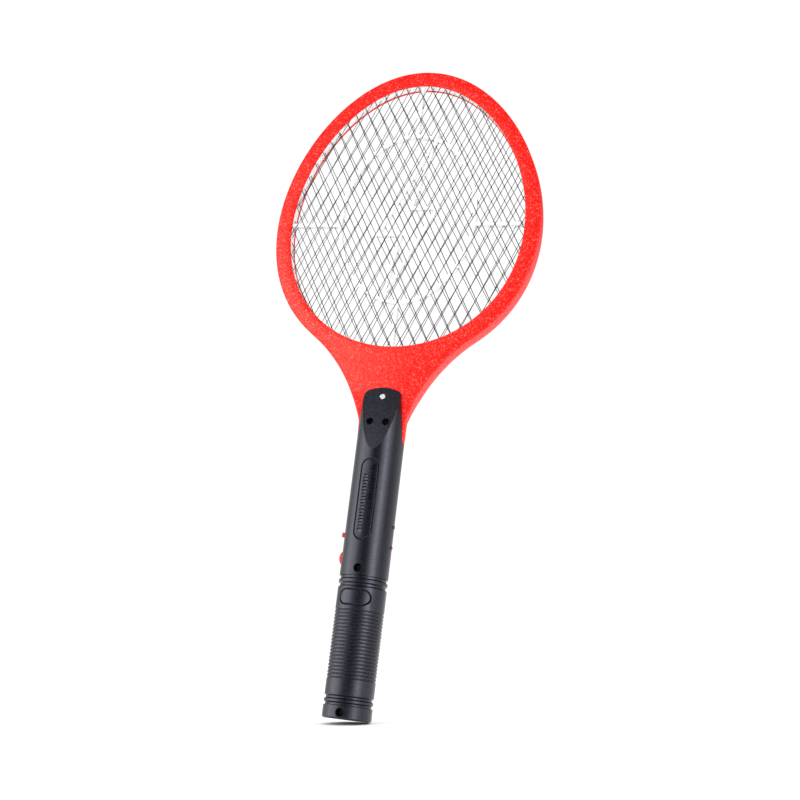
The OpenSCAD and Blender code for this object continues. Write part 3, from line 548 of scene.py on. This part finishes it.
def clipped(base, along, grow):
    """The stretch inside the oval of a line through base, as two (x, z) points, or None."""
    def at(s):
        return base[0] + s * along[0], base[1] + s * along[1]

    here = [t for t in range(-HALF_STRAND, HALF_STRAND + 1) if inside_oval(*at(t), grow) < 0]
    if len(here) < SHORTEST:
        return None
    ends = []
    for t, way in ((here[0], -1), (here[-1], 1)):
        low, high = 0.0, 1.0
        for _ in range(12):
            mid = (low + high) / 2
            if inside_oval(*at(t + way * mid), grow) < 0:
                low = mid
            else:
                high = mid
        ends.append(at(t + way * low))
    return ends


def strand(points, faces, p, q, y, wide):
    """A six-sided bar from p to q in the grid's plane."""
    d = Vector((q[0] - p[0], q[1] - p[1])).normalized()
    nx, nz = d[1], -d[0]
    base = len(points)
    section = [(wide / 2, 0), (wide / 4, STRAND_T / 2), (-wide / 4, STRAND_T / 2),
               (-wide / 2, 0), (-wide / 4, -STRAND_T / 2), (wide / 4, -STRAND_T / 2)]
    for end in (p, q):
        for s, h in section:
            points.append(((end[0] + s * nx) * MM, (y + h) * MM, (end[1] + s * nz) * MM))
    for k in range(6):
        j = (k + 1) % 6
        faces.append((base + k, base + j, base + 6 + j, base + 6 + k))
    faces.append(tuple(base + k for k in range(5, -1, -1)))
    faces.append(tuple(base + 6 + k for k in range(6)))


def knuckle(points, faces, x, z, y, wide, thick, ring=8):
    """The small swelling where two strands of a width are joined."""
    base = len(points)
    points.append((x * MM, (y - thick) * MM, z * MM))
    points.append((x * MM, (y + thick) * MM, z * MM))
    for k in range(ring):
        a = 2 * math.pi * k / ring
        points.append(((x + KNUCKLE_WIDE * wide * math.cos(a)) * MM, y * MM,
                       (z + KNUCKLE_LONG * wide * math.sin(a)) * MM))
    for k in range(ring):
        j = (k + 1) % ring
        faces.append((base, base + 2 + k, base + 2 + j))
        faces.append((base + 1, base + 2 + j, base + 2 + k))


def oval_sweep(points, faces, section, steps=144):
    """A closed ring round the opening. section is a closed loop of (grow, y)."""
    base = len(points)
    n = len(section)
    for i in range(steps):
        for grow, y in section:
            ox, oz = oval(grow, i * 360 / steps)
            points.append((ox * MM, y * MM, oz * MM))
    for i in range(steps):
        for k in range(n):
            a, b = base + i * n, base + (i + 1) % steps * n
            faces.append((a + k, a + (k + 1) % n, b + (k + 1) % n, b + k))


def block(points, faces, low, high):
    """A block between two corners."""
    base = len(points)
    for x in (low[0], high[0]):
        for y in (low[1], high[1]):
            for z in (low[2], high[2]):
                points.append((x * MM, y * MM, z * MM))
    for f in ((0, 1, 3, 2), (4, 6, 7, 5), (0, 4, 5, 1), (2, 3, 7, 6), (0, 2, 6, 4), (1, 5, 7, 3)):
        faces.append(tuple(base + k for k in f))


def grid(node, cell, turn, knot, wide, tab_x):
    """A grid: strands of both families, the swellings where they cross, rim and solder tab.

    cell is a diamond's width, turn its tilt in degrees, knot one crossing's place from the oval's
    centre, and wide a strand's width.
    """
    low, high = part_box(node)
    y = (low[1] + high[1]) / 2 / MM
    half = (high[1] - low[1]) / 2 / MM
    tilt = math.radians(turn)
    across = Vector((math.cos(tilt), math.sin(tilt)))
    up = Vector((-math.sin(tilt), math.cos(tilt)))
    origin = Vector((knot[0], ZC + knot[1]))
    pts, faces = [], []
    for side in (-1, 1):
        along = up * math.cos(LEAN) + across * side * math.sin(LEAN)
        for i in range(-STRANDS, STRANDS + 1):
            ends = clipped(origin + across * i * cell, along, STRAND_GROW)
            if ends:
                strand(pts, faces, ends[0], ends[1], y + side * FAMILY_Y, wide)
    for i in range(-CROSSINGS, CROSSINGS + 1):
        for j in range(-STRANDS, STRANDS + 1):
            at = origin + across * i * cell / 2 + up * j * cell
            if (i + j) % 2 == 0 and inside_oval(at[0], at[1], 0.0) < KNUCKLE_LIMIT:
                knuckle(pts, faces, at[0], at[1], y, wide, min(half, KNUCKLE_Y))
    oval_sweep(pts, faces, [(RIM_IN, y - half), (RIM_OUT, y - half), (RIM_OUT, y + half), (RIM_IN, y + half)])
    block(pts, faces, (tab_x - TAB_HALF, y - half, TAB_Z0), (tab_x + TAB_HALF, y + half, TAB_Z1))
    name = node + "_mesh"
    add_piece(name, mesh_from(name, pts, faces, 1e-8), node, 50.0)


grid("back_grid", 10.0, 1.56, (4.13, -1.07), 0.62, TAB_X)
grid("centre_grid", 9.94, 3.87, (0.28, -4.16), 0.5, -TAB_X)
grid("front_grid", 9.98, 3.87, (-0.82, -2.66), 0.42, TAB_X)

# ---------------------------------------------------------------- spacer webs
# The inner oval rib: height of its centre and its half axes
WEB_Z, WEB_A, WEB_B = 372.8, 53.0, 68.5
SPOKE_Z = 367.0
# How far the spokes run into the ring, and a rib's width and chamfer
SPOKE_BITE, RIB, CHAMFER = 2, 2.6, 0.35
BOLT = [(16.5, 438.5), (-22, 359), (-3.5, 359), (-11.5, 306.5), (23, 380.5), (2, 380.5)]
# The ring's inner and outer edge, its lip's inner edge, and the small slope at the lip's corner
RING_IN, RING_OUT, LIP_IN, LIP_SLOPE = 1.5, 5.9, 0.45, 0.1
# How far a lip stands out beside an outer grid and beside the centre grid
OUTER_LIP, CENTRE_LIP = 0.75, 0.38
# Ribs lie this far inside the spacer's faces, each kind a little deeper, so no faces coincide
OVAL_SUNK, BOLT_SUNK, SPOKE_SUNK = 0.02, 0.03, 0.04


def ribbon(points, faces, path, y0, y1, closed):
    """A rib with chamfered edges along a path of (x, z) points, mitred at its corners."""
    n = len(path)
    half = RIB / 2
    section = [(-half + CHAMFER, y0), (half - CHAMFER, y0), (half, y0 + CHAMFER), (half, y1 - CHAMFER),
               (half - CHAMFER, y1), (-half + CHAMFER, y1), (-half, y1 - CHAMFER), (-half, y0 + CHAMFER)]
    base = len(points)
    m = len(section)
    for i, p in enumerate(path):
        before = Vector(p) - Vector(path[i - 1]) if closed or i > 0 else Vector(path[1]) - Vector(p)
        after = Vector(path[(i + 1) % n]) - Vector(p) if closed or i < n - 1 else before
        a, b = before.normalized(), after.normalized()
        side = Vector((a[1] + b[1], -a[0] - b[0])).normalized()
        stretch = 1 / max(0.3, side.dot(Vector((a[1], -a[0]))))
        for s, y in section:
            points.append(((p[0] + s * stretch * side[0]) * MM, y * MM, (p[1] + s * stretch * side[1]) * MM))
    for i in range(n if closed else n - 1):
        for k in range(m):
            a, b = base + i * m, base + (i + 1) % n * m
            faces.append((a + k, a + (k + 1) % m, b + (k + 1) % m, b + k))
    if not closed:
        faces.append(tuple(base + k for k in range(m - 1, -1, -1)))
        faces.append(tuple(base + (n - 1) * m + k for k in range(m)))


def web(node, back, front):
    """A spacer: its ring with lips that wrap the grids' rims, and the ribs inside it.

    back and front are how far its lip stands out on either side.
    """
    low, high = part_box(node)
    y0, y1 = low[1] / MM, high[1] / MM
    pts, faces = [], []
    oval_sweep(pts, faces, [
        (LIP_IN, y0 - back + LIP_SLOPE), (LIP_IN + LIP_SLOPE, y0 - back), (RING_IN, y0 - back),
        (RING_IN, y0), (RING_OUT, y0), (RING_OUT, y1), (RING_IN, y1),
        (RING_IN, y1 + front), (LIP_IN + LIP_SLOPE, y1 + front), (LIP_IN, y1 + front - LIP_SLOPE)])
    turns = [math.radians(a) for a in range(0, 360, 4)]
    ring = [(WEB_A * math.cos(t), WEB_Z + WEB_B * math.sin(t)) for t in turns]
    ribbon(pts, faces, ring, y0 + OVAL_SUNK, y1 - OVAL_SUNK, True)
    ribbon(pts, faces, BOLT, y0 + BOLT_SUNK, y1 - BOLT_SUNK, True)
    for side in (-1, 1):
        for spoke in ([(side * WEB_A, SPOKE_Z), (side * (A + SPOKE_BITE), SPOKE_Z)],
                      [(0, WEB_Z + side * WEB_B), (0, ZC + side * (B + SPOKE_BITE))]):
            ribbon(pts, faces, spoke, y0 + SPOKE_SUNK, y1 - SPOKE_SUNK, False)
    name = node + "_web"
    add_piece(name, mesh_from(name, pts, faces, 1e-8), node, 30.0)


web("back_spacer", OUTER_LIP, CENTRE_LIP)
web("front_spacer", CENTRE_LIP, OUTER_LIP)

# ---------------------------------------------------------------- bevelled copies
# The tongue's facet rises from the handle's radius at its foot to half the tongue's thickness at its top
HANDLE_R, FACET_Y, FACET_LONG = 17.25, 8.0, 48.0
FACET_NORMAL = (0, -FACET_LONG, HANDLE_R - FACET_Y)

for node, name, width in (
        ("handle_front_shell", "handle_front", 0.3),
        ("grip_sleeve", "grip_sleeve_ribs", 0.18),
        ("end_cap", "end_cap_round", 0.3),
        ("tongue_screw", "tongue_screw_head", 0.25),
        ("push_button", "push_button_dome", 0.3),
        ("slide_knob", "slide_knob_grip", 0.35),
        ("battery_left", "battery_left_can", 0.3),
        ("battery_right", "battery_right_can", 0.3),
        ("battery_tray", "battery_tray_cradle", 0.25)):
    bevelled(node, name, width)
bevelled("handle_back_shell", "handle_back", 0.2, flats=[FACET_NORMAL])


def compressing_spring():
    """The button's spring, as a smoothed copy of its CAD mesh with mesh data of its own."""
    node = "button_spring"
    o = add_piece("button_spring_coil", clean_copy(node), node, 32.0)
    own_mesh(o)


compressing_spring()

# Every other node is shown as it is
for node, o in frame["nodes"].items():
    if not o.hide_render:
        o.data.materials.clear()
        o.data.materials.append(MATERIAL[SLOT[node]])

# ---------------------------------------------------------------- floor
# The floor's rise away from the camera and to its right, and its gap to the end cap
FLOOR_RISE_AWAY, FLOOR_RISE_RIGHT, FLOOR_GAP = 0.0834, math.tan(CAM_ROLL), 0.1
# Radius of the end cap's flat face, and half the floor's width in metres
CAP_R, FLOOR_HALF = 16.25, 6.0


def make_floor():
    """A large plane that touches the handle's end at one edge, as the object leans."""
    away = Vector((-math.sin(CAM_AZ), math.cos(CAM_AZ)))
    right = Vector((math.cos(CAM_AZ), math.sin(CAM_AZ)))
    slope = away * FLOOR_RISE_AWAY + right * FLOOR_RISE_RIGHT
    z0 = -(CAP_R * slope.length + FLOOR_GAP) * MM
    corners = [Vector((x, y)) * FLOOR_HALF for x, y in ((-1, -1), (1, -1), (1, 1), (-1, 1))]
    mesh = bpy.data.meshes.new("floor")
    mesh.from_pydata([(*c, z0 + slope.dot(c)) for c in corners], [], [(0, 1, 2, 3)])
    o = bpy.data.objects.new("floor", mesh)
    bpy.context.scene.collection.objects.link(o)
    m, nt, bsdf = new_material("floor")
    tex = nt.nodes.new("ShaderNodeTexCoord")
    tone = noise(nt, tex.outputs["Object"], 6.0, 3.0, 0.5)
    nt.links.new(two_colours(nt, tone, (0.96, 0.96, 0.96), (0.985, 0.985, 0.985)), bsdf.inputs["Base Color"])
    bsdf.inputs["Roughness"].default_value = 0.8
    bsdf.inputs["Specular IOR Level"].default_value = 0.0
    mesh.materials.append(m)


# ---------------------------------------------------------------- light
def make_light(name, place, aim, size, power, glossy=False):
    """A soft panel, in metres and watts, that no camera sees.

    It either lights surfaces or, if glossy, only shows in reflections.
    """
    data = bpy.data.lights.new(name, "AREA")
    data.shape = "RECTANGLE"
    data.size, data.size_y = size
    data.energy = power
    o = bpy.data.objects.new(name, data)
    bpy.context.scene.collection.objects.link(o)
    o.location = place
    o.rotation_mode = "QUATERNION"
    o.rotation_quaternion = (Vector(place) - Vector(aim)).to_track_quat("Z", "Y")
    o.visible_camera = False
    o.visible_glossy = glossy
    o.visible_diffuse = not glossy


# Brightness of the studio in reflections, at angles in degrees from -Y towards +X: a broad panel
# round -72, a narrow one round 48, and a dim gap between them
STUDIO = [(-180, 0.6), (-110, 0.6), (-88, 1.7), (-72, 3.6), (-42, 2.9), (-28, 1.1), (-14, 0.3),
          (5, 0.0), (20, 0.2), (36, 1.3), (48, 5.2), (60, 5.0), (73, 1.6), (90, 0.8), (110, 0.4),
          (150, 0.75), (180, 0.7)]
STUDIO_PEAK = max(value for _, value in STUDIO)
# Share of that brightness low and high up, and the upward part of the direction it changes between
STUDIO_LOW, STUDIO_HIGH, STUDIO_FALL = 1.15, 0.1, (0.2, 0.5)
# Brightness that the camera and soft light meet
BACKDROP = 1.05


def make_world():
    """White all round for the eye and for soft light, and the studio's panels in reflections."""
    world = bpy.data.worlds.new("world")
    world.use_nodes = True
    nt = world.node_tree
    x, y, z = axes(nt, "Generated")
    turn = math_node(nt, "ARCTAN2", x, math_node(nt, "MULTIPLY", y, -1.0))
    ramp = nt.nodes.new("ShaderNodeValToRGB")
    ramp.color_ramp.elements[0].position = 0.0
    ramp.color_ramp.elements[1].position = 1.0
    for degrees, _ in STUDIO[1:-1]:
        ramp.color_ramp.elements.new((degrees + 180) / 360)
    for element, (_, value) in zip(ramp.color_ramp.elements, STUDIO):
        element.color = (value / STUDIO_PEAK,) * 3 + (1,)
    nt.links.new(spread(nt, turn, 0.0, 1.0, -math.pi, math.pi), ramp.inputs["Fac"])
    fall = spread(nt, z, STUDIO_LOW, STUDIO_HIGH, *STUDIO_FALL)
    seen = math_node(nt, "MULTIPLY", math_node(nt, "MULTIPLY", ramp.outputs["Color"], STUDIO_PEAK), fall)
    path = nt.nodes.new("ShaderNodeLightPath")
    mix = nt.nodes.new("ShaderNodeMix")
    mix.inputs["A"].default_value = BACKDROP
    nt.links.new(path.outputs["Is Glossy Ray"], mix.inputs["Factor"])
    nt.links.new(seen, mix.inputs["B"])
    background = nt.nodes["Background"]
    background.inputs["Color"].default_value = (1, 1, 1, 1)
    nt.links.new(mix.outputs["Result"], background.inputs["Strength"])
    bpy.context.scene.world = world


make_floor()
make_light("key_left", (-1.5, -1.17, 0.8), (0, 0, 0.25), (1.7, 1.6), 9)
make_light("top", (0.2, 0.3, 2.2), (0, 0, 0.2), (1.6, 1.6), 12)
make_light("low_right", (0.95, -0.75, 0.15), (-0.05, 0, 0.42), (0.6, 0.6), 5)
make_light("head_sheen", (-0.32, -0.53, 0.48), (-0.085, 0, 0.31), (0.17, 0.17), 0.58, glossy=True)
make_world()
bpy.context.scene.view_settings.view_transform = "Standard"
